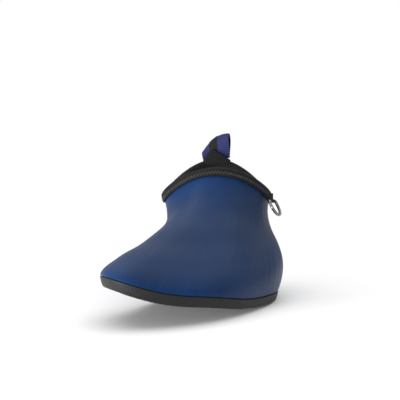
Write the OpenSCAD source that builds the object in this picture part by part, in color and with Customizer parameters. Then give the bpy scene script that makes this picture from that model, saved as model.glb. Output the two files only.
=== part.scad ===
// Low pull-on neoprene boot for water sports, left foot, in millimetres.
// The toe points to -Y, the outer side of the foot is +X and +Z is up.
// The origin is on the ground, under the middle of the collar.

/* [Boot] */
// Length of the sole from heel to toe
boot_length = 272; // [258:1:286]
// Width of the sole over the ball of the foot
ball_width = 104; // [96:1:112]
// Thickness of the neoprene upper
wall = 4; // [3:0.5:5]

/* [Collar] */
// Width of the collar across the ankle
collar_width = 92; // [86:1:98]
// Length of the collar from front to back
collar_length = 100; // [94:1:106]
// Height of the collar's rim over the instep
rim_front = 103.5; // [100:0.5:110]
// Height of the collar's rim at the ankle bones
rim_side = 83; // [80:1:88]
// Height of the collar's rim at the heel
rim_back = 114.5; // [110:0.5:120]
// Turn of the collar's high points and of the heel seam: outwards in front, inwards at the heel
heel_turn = 12; // [0:1:15]
// Width of the folded binding on each side of the rim
band = 5.5; // [5:0.5:9]
// Thickness of the binding
band_t = 1.4; // [1:0.1:1.8]

/* [Sole] */
// Height of the outsole's side
sole_h = 7; // [6:0.5:9]
// Thickness of the outsole under the foot
tread_t = 3.5; // [3:0.5:4.5]
// Rise of the toe, in millimetres per millimetre
toe_slope = 0.207; // [0.1:0.001:0.24]
// Direction in which the toe rises, turned from -Y towards the inner side
toe_turn = 40; // [20:1:50]
// Thickness of the loose footbed
footbed_t = 3.5; // [2.5:0.5:4]

/* [Pull loop] */
// Width of the webbing
webbing_w = 25; // [20:1:28]
// Thickness of the webbing
webbing_t = 1.4; // [1.2:0.1:1.8]
// Height of the loop's outer edge over its sewn foot
loop_h = 23; // [18:0.5:26]
// Height of the loop's inner edge over its sewn foot
loop_low = 6.5; // [3:0.5:14]
// Widest gap between the loop's two strands
loop_gap = 11; // [8:1:13]
// Twist of the loop from its foot to its top
loop_twist = 22; // [0:1:30]

/* [D-ring] */
// Diameter of the ring's wire
wire_d = 2.4; // [2:0.1:2.8]
// Distance between the middles of the ring's arms
ring_w = 15; // [12:0.5:16]
// Length of the ring's straight arms
ring_arm = 5.5; // [2:0.5:6]
// Tilt of the hanging ring away from the boot
ring_tilt = 28; // [0:1:45]
// Place of the ring round the collar, from the toe towards the outer side
ring_place = 76; // [70:1:90]

/* [Hidden] */
// Room left between two flat layers, and between two curved layers whose facets differ
gap = 0.1;
cloth_gap = 0.25;
step = 0.001;

// The upper is a surface between the edge of the sole and the rim of the collar. Twelve stations
// go round the boot from the toe, over the outer side, the heel and the inner side, 30 degrees
// apart on the rim. At each station one Bezier curve climbs from the sole's edge to the rim.
length_k = boot_length / 272;
width_k = ball_width / 104;
edge_x = [-22, 24, 49, 57, 36, 21, -4, -29, -39, -37, -45, -49] * width_k;
edge_y = [-199, -165, -104, -36, 27, 60, 73, 57, 18, -40, -112, -158] * length_k;
// The lower handle of each curve: how far out of the edge and how far up from it
bulge_out = [2, 4, 8, 15, 13, 10, 7, 8, 7, 3, 0, 0];
bulge_up = [11, 14, 26, 40, 38, 36, 36, 36, 34, 29, 18, 14];
// The upper handle of each curve: how far out of the rim and how far down from it
neck_out = [23, 15, 0, -10, -5, -3, -4, -3, -6, -12, -12, -3];
neck_down = [43, 45, 43, 35, 36, 38, 36, 36, 36, 35, 43, 50];

function station(list, i) = list[((i % 12) + 12) % 12];
function between(list, u) =
    let (i = floor(u), t = u - i)
    let (a = station(list, i - 1), b = station(list, i), c = station(list, i + 1), d = station(list, i + 2))
    b + ((c - a) * t + (2 * a - 5 * b + 4 * c - d) * t * t + (3 * b - a - 3 * c + d) * t * t * t) / 2;
function unit(v) = v / norm(v);
function flat(v) = [v.x, v.y];

// The sole's edge in plan, and the way out of it
function edge(u) = [between(edge_x, u), between(edge_y, u)];
function edge_out(u) = let (d = edge(u + step) - edge(u - step)) unit([d.y, -d.x]);

// The toe spring: flat to spring_start, then a bend to spring_end, then a straight rise
spring_start = 32;
spring_end = 77;
function along(p) = -(p.x * sin(toe_turn) + p.y * cos(toe_turn));
function spring(s) =
    s < spring_start ? 0 :
    s < spring_end ? toe_slope * pow(s - spring_start, 2) / (2 * (spring_end - spring_start)) :
    toe_slope * (s - (spring_start + spring_end) / 2);

// The rim of the collar
function rim_height(angle) =
    let (turned = angle - heel_turn)
    let (top = cos(turned) > 0 ? rim_front : rim_back)
    rim_side + (top - rim_side) * pow(abs(cos(turned)), 1.8);
function rim(u) =
    let (angle = 30 * u)
    [collar_width / 2 * sin(angle), -collar_length / 2 * cos(angle), rim_height(angle)];

// The four control points of the curve at u, and a point on it
function foot_of(u) = let (p = edge(u)) [p.x, p.y, sole_h + gap + spring(along(p))];
function low_handle(u) =
    let (n = edge_out(u) * between(bulge_out, u))
    foot_of(u) + [n.x, n.y, between(bulge_up, u)];
function high_handle(u) =
    let (out = between(neck_out, u))
    rim(u) + [sin(30 * u) * out, -cos(30 * u) * out, -between(neck_down, u)];
function curve(f, b, t, r, v) =
    pow(1 - v, 3) * f + 3 * v * pow(1 - v, 2) * b + 3 * v * v * (1 - v) * t + pow(v, 3) * r;
function skin(u, v) = curve(foot_of(u), low_handle(u), high_handle(u), rim(u), v);
function skin_out(u, v) =
    unit(cross(skin(u + step, v) - skin(u - step, v), skin(u, v + step) - skin(u, v - step)));
// A point under the skin by depth, or over it when depth is negative
function under(u, v, depth) = skin(u, v) - depth * skin_out(u, v);
// The way up over the rim, and the curve's height at which the binding starts
function rim_up(u) = unit(rim(u) - high_handle(u));
function band_start(u, width) = 1 - width / (3 * norm(rim(u) - high_handle(u)));

// The places of the seams round the boot
outer_seam = 3.6;
inner_seam = 8.6;
heel_seam = 6 + heel_turn / 30;
seam_gap = 0.004;

// A closed sheet between rows of outer points and rows of inner points
module sheet(outer, inner) {
    rows = len(outer);
    cols = len(outer[0]);
    size = rows * cols;
    quad_faces = [
        for (i = [0 : rows - 2], j = [0 : cols - 2])
            let (a = i * cols + j)
            let (b = size + a)
            each [[a, a + cols, a + cols + 1, a + 1], [b, b + 1, b + cols + 1, b + cols]]
    ];
    side_faces = [
        for (j = [0 : cols - 2])
            let (a = (rows - 1) * cols + j)
            each [[j, j + 1, size + j + 1, size + j], [a + 1, a, size + a, size + a + 1]]
    ];
    end_faces = [
        for (i = [0 : rows - 2])
            let (a = i * cols, b = a + cols - 1)
            each [[a + cols, a, size + a, size + a + cols], [b, b + cols, size + b + cols, size + b]]
    ];
    faces = concat(quad_faces, side_faces, end_faces);
    polyhedron(
        concat([for (row = outer) each row], [for (row = inner) each row]),
        [for (f = faces) each [[f[0], f[1], f[2]], [f[0], f[2], f[3]]]]
    );
}

// A patch of the upper between two depths, from u0 to u1 round the boot and v0 to v1 up it
module patch(u0, u1, v0, v1, outer_depth, inner_depth, cols, rows) {
    us = [for (j = [0 : cols]) u0 + (u1 - u0) * j / cols];
    vs = [for (i = [0 : rows]) v0 + (v1 - v0) * i / rows];
    sheet(
        [for (v = vs) [for (u = us) under(u, v, outer_depth)]],
        [for (v = vs) [for (u = us) under(u, v, inner_depth)]]
    );
}

// A ring round the collar: section(u) gives the same number of points at every u
module collar_ring(sections) {
    turns = len(sections);
    size = len(sections[0]);
    faces = [
        for (i = [0 : turns - 1], j = [0 : size - 1])
            let (a = i * size, b = ((i + 1) % turns) * size, k = (j + 1) % size)
            each [[a + j, b + j, b + k], [a + j, b + k, a + k]]
    ];
    polyhedron([for (s = sections) each s], faces);
}

// A slab that follows the toe spring, cut to an outline
module sprung_slab(outline, low, high) {
    bend = [for (i = [0 : 9]) spring_start + (spring_end - spring_start) * i / 9];
    places = concat([-150], bend, [250]);
    profile = concat(
        [for (s = places) [s, spring(s) + low]],
        [for (i = [len(places) - 1 : -1 : 0]) [places[i], spring(places[i]) + high]]
    );
    intersection() {
        linear_extrude(80) polygon(outline);
        rotate([90, 0, -90 - toe_turn]) linear_extrude(500, center = true) polygon(profile);
    }
}

// The sole's edge drawn in by a set distance
sole_points = 60;
function sole_outline(inset) =
    [for (i = [0 : sole_points - 1]) let (u = 12 * i / sole_points) edge(u) - inset * edge_out(u)];
// How far the upper's inner side has come in from the edge at a height over the sole
function lean(u, height) =
    max([
        for (v = [0 : 0.02 : 0.4])
            let (p = under(u, v, wall))
            if (p.z - foot_of(u).z <= height) (edge(u) - flat(p)) * edge_out(u)
    ]);
// The sock's inside in plan at a height; skip leaves out that many points on each side of the toe's
// tip, which cuts the toe end straight where the sides would cross
function sock_outline(height, ease, skip) =
    [
        for (i = [skip : sole_points - 1 - skip])
            let (u = 12 * i / sole_points)
            edge(u) - (lean(u, height) + ease) * edge_out(u)
    ];

// The moulded outsole: a shallow tray with a flat tread and cross grooves
rim_wall = 3;
groove_w = 2.4;
groove_depth = 1.2;
groove_pitch = 11;
edge_round = 1.5;
module outsole() {
    color("#37373a")
    difference() {
        union() {
            sprung_slab(sole_outline(edge_round), 0, edge_round + gap);
            sprung_slab(sole_outline(0), edge_round, sole_h);
        }
        sprung_slab(sole_outline(rim_wall), tread_t, sole_h + 1);
        tread_grooves(-172, -38);
        tread_grooves(26, 52);
    }
}
// Straight grooves across the tread, clear of the edge; they follow the toe spring
module tread_grooves(y_start, y_end) {
    intersection() {
        sprung_slab(sole_outline(8), -1, groove_depth);
        for (y = [y_start : groove_pitch : y_end]) translate([-100, y, -1]) cube([200, groove_w, 60]);
    }
}

module midsole() {
    color("#2c2c2e") sprung_slab(sole_outline(rim_wall + gap), tread_t + gap, sole_h);
}

// The sheet that closes the sock underneath, and the loose footbed on it
bottom_t = 3;
module bottom_sheet() {
    color("#26282c") sprung_slab(sock_outline(bottom_t, 0.6, 0), sole_h + gap, sole_h + bottom_t);
}
module footbed() {
    low = sole_h + bottom_t + gap;
    color("#303236") sprung_slab(sock_outline(bottom_t + footbed_t + gap, 1.5, 2), low, low + footbed_t);
}

// The three neoprene panels of the upper
module front_panel() {
    color("#283b59") patch(inner_seam - 12 + seam_gap, outer_seam - seam_gap, 0, 1, 0, wall, 34, 18);
}
module outer_back_panel() {
    color("#283b59") patch(outer_seam + seam_gap, heel_seam - seam_gap, 0, 1, 0, wall, 12, 14);
}
module inner_back_panel() {
    color("#283b59") patch(heel_seam + seam_gap, inner_seam - seam_gap, 0, 1, 0, wall, 12, 14);
}

// The tapes glued over the seams inside, and the thread that closes the seams outside
tape_half = 0.16;
tape_t = 0.6;
tape_top = 0.88;
module seam_tape(u) {
    patch(u - tape_half, u + tape_half, 0.16, tape_top, wall + cloth_gap, wall + cloth_gap + tape_t, 3, 14);
}
module outer_seam_tape() {
    color("#1d1e20") seam_tape(outer_seam);
}
module inner_seam_tape() {
    color("#1d1e20") seam_tape(inner_seam);
}
module heel_seam_tape() {
    color("#1d1e20") seam_tape(heel_seam);
}
thread_half = 0.04;
thread_t = 0.5;
module thread_line(u, top, rows) {
    patch(u - thread_half, u + thread_half, 0.03, top, -cloth_gap - thread_t, -cloth_gap, 1, rows);
}
module seam_threads() {
    color("#202a3c") {
        thread_line(outer_seam, tape_top, 14);
        thread_line(inner_seam, tape_top, 14);
        thread_line(heel_seam, tail_bottom - 0.02, 10);
    }
}

// The binding folded over the rim: two legs and a round top
collar_turns = 72;
leg_steps = 3;
top_steps = 5;
function over_rim(u, angle, radius) =
    rim(u) - skin_out(u, 1) * wall / 2 + (skin_out(u, 1) * cos(angle) + rim_up(u) * sin(angle)) * radius;
function leg(u, depth) =
    [for (k = [0 : leg_steps - 1]) under(u, band_start(u, band * (1 - k / leg_steps)), depth)];
function arch(u, radius) = [for (k = [0 : top_steps]) over_rim(u, 180 * k / top_steps, radius)];
function turned_round(list) = [for (i = [len(list) - 1 : -1 : 0]) list[i]];
function binding_section(u) =
    let (inner_r = wall / 2 + cloth_gap, outer_r = inner_r + band_t)
    concat(
        leg(u, -cloth_gap - band_t),
        arch(u, outer_r),
        turned_round(leg(u, wall + cloth_gap + band_t)),
        leg(u, wall + cloth_gap),
        turned_round(arch(u, inner_r)),
        turned_round(leg(u, -cloth_gap))
    );
module collar_binding() {
    color("#222224") collar_ring([for (i = [0 : collar_turns - 1]) binding_section(12 * i / collar_turns)]);
}

// The zigzag thread that holds the binding, as one low ring along its outer leg
zigzag_low = 4.5;
zigzag_high = 1;
zigzag_t = 0.5;
function zigzag_section(u) =
    let (near = -band_t - 2 * cloth_gap, far = near - zigzag_t)
    let (low = band_start(u, zigzag_low), high = band_start(u, zigzag_high))
    [under(u, low, far), under(u, high, far), under(u, high, near), under(u, low, near)];
module binding_stitches() {
    color("#3a3a3e") collar_ring([for (i = [0 : collar_turns - 1]) zigzag_section(12 * i / collar_turns)]);
}

// The pull loop stands on the rim over the heel seam, on a line along the rim
heel_angle = 30 * heel_seam;
loop_foot = rim(heel_seam) + [0, 0, wall / 2 + band_t + 2 * gap] - skin_out(heel_seam, 1) * wall / 2;
loop_steps = 26;
loop_cols = 8;
// Half the gap between the strands, from the foot (0) over the top to the foot again (1)
function loop_depth(t) = -(loop_gap / 2) * (cos(180 * t) * pow(sin(180 * t), 0.6)) * 1.35;
// The loop's height at w from the middle of the webbing: its top falls away towards the inner edge
function loop_height(w) = loop_h - (loop_h - loop_low) * pow(0.5 - w / webbing_w, 2.4);
function loop_rise(t) = sin(180 * t);
function loop_point(w, t, side) =
    let (rise = loop_height(max(min(w, webbing_w / 2), -webbing_w / 2)) * loop_rise(t))
    let (turn = -loop_twist * loop_rise(t), d = loop_depth(t) + side)
    [w * cos(turn) - d * sin(turn), w * sin(turn) + d * cos(turn), rise];
function loop_slope(w, t) = unit(loop_point(w, min(t + 0.01, 1), 0) - loop_point(w, max(t - 0.01, 0), 0));
function loop_face(w, t, offset) =
    let (across = unit(loop_point(w + 0.1, t, 0) - loop_point(w - 0.1, t, 0)))
    let (foot = (t < 0.5 ? -1 : 1) * webbing_t * 0.55 * pow(abs(cos(180 * t)), 4))
    loop_point(w, t, foot) + cross(across, loop_slope(w, t)) * offset;
module at_heel() {
    translate(loop_foot) rotate([0, 0, heel_angle - 180]) children();
}
module webbing_band(w0, w1, cols, t0, t1, low, high) {
    ws = [for (j = [0 : cols]) w0 + (w1 - w0) * j / cols];
    ts = [for (i = [0 : loop_steps]) t0 + (t1 - t0) * i / loop_steps];
    sheet(
        [for (t = ts) [for (w = ws) loop_face(w, t, high)]],
        [for (t = ts) [for (w = ws) loop_face(w, t, low)]]
    );
}
module pull_loop() {
    half = webbing_w / 2;
    low = -webbing_t / 2;
    color("#363c60") at_heel() webbing_band(-half, half, loop_cols, 0.02, 0.98, low, low + webbing_t);
}
// The black tape woven along the middle of the webbing
stripe_w = 7;
stripe_at = -2;
stripe_t = 0.4;
module loop_stripe() {
    low = webbing_t / 2 + cloth_gap;
    left = stripe_at - stripe_w / 2;
    color("#242527") at_heel() webbing_band(left, left + stripe_w, 2, 0.06, 0.94, low, low + stripe_t);
}

// The end of the webbing that comes down over the binding at the back and is sewn to the boot
tail_bottom = 0.7;
tail_top = 0.87;
tail_half = webbing_w / 2 / 26;
tail_cols = 6;
tail_arch = 15;
over_stitches = band_t + zigzag_t + 3 * cloth_gap;
function tail_rows(offset) =
    let (us = [for (j = [0 : tail_cols]) heel_seam + tail_half * (2 * j / tail_cols - 1)])
    concat(
        [
            for (k = [0 : 2])
                let (v = tail_bottom + (tail_top - tail_bottom) * k / 2)
                [for (u = us) under(u, v, -cloth_gap - offset)]
        ],
        [for (d = [band + 1.5, band / 2]) [for (u = us) under(u, band_start(u, d), -over_stitches - offset)]],
        [for (a = [0, tail_arch]) [for (u = us) over_rim(u, a, wall / 2 + over_stitches + offset)]]
    );
module loop_tail() {
    color("#363c60") sheet(tail_rows(webbing_t), tail_rows(0));
}
tack_over = cloth_gap + webbing_t + cloth_gap;
tack_t = 0.5;
module loop_bar_tacks() {
    color("#3a3a3e")
    for (v = [tail_bottom + 0.015, tail_top - 0.05])
        patch(
            heel_seam - 0.8 * tail_half, heel_seam + 0.8 * tail_half, v, v + 0.015,
            -tack_over - tack_t, -tack_over, 6, 1
        );
}

// The stiff tab that stands up inside the heel of the collar, in front of the loop. It bends with
// the collar and leans into the boot.
tab_left = -13;
tab_right = 14;
tab_peak = -4.8;
tab_h = 14;
tab_t = 1.6;
tab_round = 2.5;
tab_lean = 9;
tab_bend = 37;
tab_drop = 4.6;
tab_clear = wall / 2 + cloth_gap + band_t + 0.9;
module tab_outline() {
    hull() {
        translate([tab_left + tab_round, tab_round]) circle(tab_round, $fn = 32);
        translate([tab_right - tab_round, tab_round]) circle(tab_round, $fn = 32);
        translate([tab_peak, tab_h - tab_round]) circle(tab_round, $fn = 32);
    }
}
module heel_tab() {
    color("#222224")
    at_heel() translate([0, -tab_clear, -tab_drop]) rotate([tab_lean, 0, 0]) intersection() {
        rotate([90, 0, 0]) linear_extrude(tab_bend / 2) tab_outline();
        translate([0, -tab_bend, -1]) difference() {
            cylinder(r = tab_bend, h = tab_h + 2, $fn = 180);
            translate([0, 0, -1]) cylinder(r = tab_bend - tab_t, h = tab_h + 4, $fn = 180);
        }
    }
}

// The blank size label inside the heel
label_half = 0.35;
label_t = 0.4;
module size_label() {
    over_tape = wall + tape_t + 2 * cloth_gap;
    color("#c9ccd2")
    patch(heel_seam - label_half, heel_seam + label_half, 0.66, 0.78, over_tape, over_tape + label_t, 6, 4);
}

// The D-ring hangs from a webbing keeper on the outer side of the collar
ring_u = ring_place / 30;
keeper_w = 8;
keeper_t = 1.2;
keeper_rise = 6.5;
bar_clear = 0.3;
bar_drop = 8.5;
sleeve_r = wire_d / 2 + bar_clear + keeper_t;
binding_out = band_t + zigzag_t + 2 * cloth_gap;
ring_stand = binding_out + gap + sleeve_r;
bar_middle = rim(ring_u) + [sin(ring_place), -cos(ring_place), 0] * ring_stand - [0, 0, bar_drop];
module at_ring() {
    translate(bar_middle) rotate([0, 0, ring_place - 90]) children();
}
module d_ring() {
    color("silver") at_ring() rotate([0, -ring_tilt, 0]) {
        rotate([90, 0, 0]) cylinder(d = wire_d, h = ring_w, center = true, $fn = 48);
        for (y = [-ring_w / 2, ring_w / 2]) {
            translate([0, y, 0]) sphere(d = wire_d, $fn = 48);
            translate([0, y, -ring_arm]) cylinder(d = wire_d, h = ring_arm, $fn = 48);
        }
        translate([0, 0, -ring_arm]) rotate([90, 0, 90]) rotate_extrude(angle = -180, $fn = 96)
            translate([ring_w / 2, 0]) circle(d = wire_d, $fn = 48);
    }
}
module ring_keeper() {
    color("#222224") at_ring() difference() {
        union() {
            rotate([90, 0, 0]) cylinder(r = sleeve_r, h = keeper_w, center = true, $fn = 48);
            translate([-sleeve_r, -keeper_w / 2, 0]) cube([keeper_t, keeper_w, keeper_rise]);
        }
        rotate([90, 0, 0]) cylinder(r = sleeve_r - keeper_t, h = keeper_w + 2, center = true, $fn = 48);
    }
}
keeper_tack_w = 6;
keeper_tack_h = 1.5;
module keeper_bar_tack() {
    color("#3a3a3e") at_ring()
    translate([-sleeve_r + keeper_t + gap, -keeper_tack_w / 2, keeper_rise - keeper_tack_h - 0.6])
        cube([tack_t, keeper_tack_w, keeper_tack_h]);
}

outsole();
midsole();
bottom_sheet();
footbed();
front_panel();
outer_back_panel();
inner_back_panel();
outer_seam_tape();
inner_seam_tape();
heel_seam_tape();
seam_threads();
collar_binding();
binding_stitches();
heel_tab();
pull_loop();
loop_stripe();
loop_tail();
loop_bar_tacks();
size_label();
d_ring();
ring_keeper();
keeper_bar_tack();
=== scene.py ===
"""Looks for a low pull-on neoprene boot, left foot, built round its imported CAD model."""

import sys

import logging
import math
from dataclasses import dataclass
from enum import Enum
from functools import lru_cache
from typing import Any, Callable, Sequence

import bmesh
import bpy
from mathutils import Matrix, Vector

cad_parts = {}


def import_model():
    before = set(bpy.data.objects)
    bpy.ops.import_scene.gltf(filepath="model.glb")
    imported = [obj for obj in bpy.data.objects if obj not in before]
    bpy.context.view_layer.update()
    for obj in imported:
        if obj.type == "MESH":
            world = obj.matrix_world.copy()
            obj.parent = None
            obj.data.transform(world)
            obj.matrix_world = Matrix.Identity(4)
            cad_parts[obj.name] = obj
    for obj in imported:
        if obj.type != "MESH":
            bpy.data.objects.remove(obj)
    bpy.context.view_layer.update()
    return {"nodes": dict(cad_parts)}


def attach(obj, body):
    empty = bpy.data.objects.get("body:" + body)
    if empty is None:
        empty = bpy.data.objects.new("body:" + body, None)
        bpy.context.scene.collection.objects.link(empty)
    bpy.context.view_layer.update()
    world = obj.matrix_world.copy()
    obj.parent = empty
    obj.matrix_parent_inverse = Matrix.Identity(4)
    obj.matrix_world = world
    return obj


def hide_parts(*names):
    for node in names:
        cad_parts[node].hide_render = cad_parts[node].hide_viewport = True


LOG = logging.getLogger("boot")
MM = 0.001
STATIONS = 12
Place = Callable[[float, float], Vector]


class Body(Enum):
    """The CAD bodies that pieces ride on."""

    BOOT = "boot"
    LOOP = "loop"
    RING = "ring"


class Side(Enum):
    """Which way a sheet's thickness goes from the surface it is drawn on."""

    INWARD = -1.0
    OUTWARD = 1.0


# ---------------------------------------------------------------------------------------------
# Small tools
# ---------------------------------------------------------------------------------------------


def linear(code: str) -> tuple[float, float, float, float]:
    """Turn an sRGB hex colour into linear light.

    Args:
        code: The colour, such as "#283b59".

    Returns:
        Red, green, blue and alpha, from 0 to 1.
    """
    parts = [int(code[i : i + 2], 16) / 255 for i in (1, 3, 5)]
    low, knee = 12.92, 0.04045
    values = [c / low if c <= knee else ((c + 0.055) / 1.055) ** 2.4 for c in parts]
    return (values[0], values[1], values[2], 1.0)


def smooth(low: float, thread_gap_shade: float, value: float) -> float:
    """Step smoothly from 0 at low to 1 at high.

    Args:
        low: Where the step starts.
        thread_gap_shade: Where the step ends.
        value: The place along it.

    Returns:
        A value from 0 to 1.
    """
    t = min(max((value - low) / (thread_gap_shade - low), 0.0), 1.0)
    return t * t * (3 - 2 * t)


def hump(value: float, middle: float, width: float) -> float:
    """A soft bell that is 1 at middle and falls off over width."""
    return math.exp(-(((value - middle) / width) ** 2))


def grid_piece(
    name: str, cols: int, rows: int, place: Place, uv: Place, ring: bool = False
) -> bpy.types.Object:
    """Make a mesh by laying a flat grid onto a surface.

    Args:
        name: The piece's name.
        cols: Faces across the grid.
        rows: Faces up the grid.
        place: Takes the two places across and up the grid, from 0 to 1, and gives a point in millimetres.
        uv: Takes the same two places and gives the cloth's own coordinates in millimetres.
        ring: True where the grid's left and right edges meet.

    Returns:
        The new object, in metres, in the CAD frame.
    """
    bm = bmesh.new()
    bmesh.ops.create_grid(bm, x_segments=cols, y_segments=rows, size=0.5)
    layer = bm.loops.layers.uv.new("cloth")
    flat = {v: (v.co.x + 0.5, v.co.y + 0.5) for v in bm.verts}
    for face in bm.faces:
        face.smooth = True
        for loop in face.loops:
            loop[layer].uv = (uv(*flat[loop.vert]) * MM).xy
    for v, (a, b) in flat.items():
        v.co = place(a, b) * MM
    if ring:
        bmesh.ops.remove_doubles(bm, verts=bm.verts, dist=1e-6)
    return finish_mesh(name, bm)


def finish_mesh(name: str, bm: bmesh.types.BMesh) -> bpy.types.Object:
    """Turn a bmesh into an object of the scene.

    Args:
        name: The piece's name.
        bm: The mesh, in metres, which is freed.

    Returns:
        The new object at the origin.
    """
    mesh = bpy.data.meshes.new(name)
    bm.to_mesh(mesh)
    bm.free()
    piece = bpy.data.objects.new(name, mesh)
    bpy.context.collection.objects.link(piece)
    return piece


def thicken(
    piece: bpy.types.Object, thickness: float, side: Side, inner: int = 0, rim: int = 0, even: bool = True
) -> None:
    """Give a sheet its thickness with a Solidify modifier.

    Args:
        piece: The sheet.
        thickness: Its thickness in millimetres.
        side: Which way the thickness goes.
        inner: Material slots to move on by for the inner side.
        rim: Material slots to move on by for the cut edge.
        even: False for a tightly bent sheet, whose corners would otherwise grow long.
    """
    solid = piece.modifiers.new("thickness", "SOLIDIFY")
    solid.thickness = thickness * MM
    solid.offset = side.value
    solid.use_even_offset = even
    solid.material_offset = inner
    solid.material_offset_rim = rim


def round_edges(piece: bpy.types.Object, width: float, segments: int = 2, angle: float = 50) -> None:
    """Round a piece's sharp edges with a Bevel modifier.

    Args:
        piece: The piece.
        width: The bevel's width in millimetres.
        segments: Its segments.
        angle: Only edges that turn by more than this many degrees are rounded.
    """
    bevel = piece.modifiers.new("rounding", "BEVEL")
    bevel.width = width * MM
    bevel.segments = segments
    bevel.limit_method = "ANGLE"
    bevel.angle_limit = math.radians(angle)
    bevel.use_clamp_overlap = True


def thread(
    name: str, runs: Sequence[Sequence[Vector]], diameter: float, closed: bool = False, sides: int = 2
) -> bpy.types.Object:
    """Lay round thread or wire along runs of points.

    Args:
        name: The piece's name.
        runs: The runs, in millimetres.
        diameter: The thread's diameter in millimetres.
        closed: True where each run ends where it starts.
        sides: How finely its section is rounded.

    Returns:
        The thread as one mesh.
    """
    curve = bpy.data.curves.new(name + "_line", "CURVE")
    curve.dimensions = "3D"
    curve.bevel_depth = diameter / 2 * MM
    curve.bevel_resolution = sides
    curve.use_fill_caps = not closed
    for run in runs:
        spline = curve.splines.new("POLY")
        spline.points.add(len(run) - 1)
        spline.use_cyclic_u = closed
        for point, p in zip(spline.points, run):
            point.co = (*(p * MM), 1.0)
    holder = bpy.data.objects.new(name + "_line", curve)
    bpy.context.collection.objects.link(holder)
    bpy.context.view_layer.update()
    mesh = bpy.data.meshes.new_from_object(holder.evaluated_get(bpy.context.evaluated_depsgraph_get()))
    bpy.data.objects.remove(holder)
    mesh.name = name
    for polygon in mesh.polygons:
        polygon.use_smooth = True
    piece = bpy.data.objects.new(name, mesh)
    bpy.context.collection.objects.link(piece)
    return piece


def settle(
    piece: bpy.types.Object, body: Body, finishes: Sequence["Finish"], replaces: Sequence[str] = ()
) -> bpy.types.Object:
    """Dress a finished piece and hang it on its CAD body.

    Args:
        piece: The piece.
        body: The body it rides on.
        finishes: Its finishes, in the order of its material slots.
        replaces: The CAD nodes it stands for.

    Returns:
        The same piece.
    """
    for finish in finishes:
        piece.data.materials.append(finish.material())
    if replaces:
        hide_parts(*replaces)
    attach(piece, body.value)
    LOG.info("%s: %d faces, rides on %s", piece.name, len(piece.data.polygons), body.value)
    return piece


# ---------------------------------------------------------------------------------------------
# The boot's surface
# ---------------------------------------------------------------------------------------------


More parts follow.
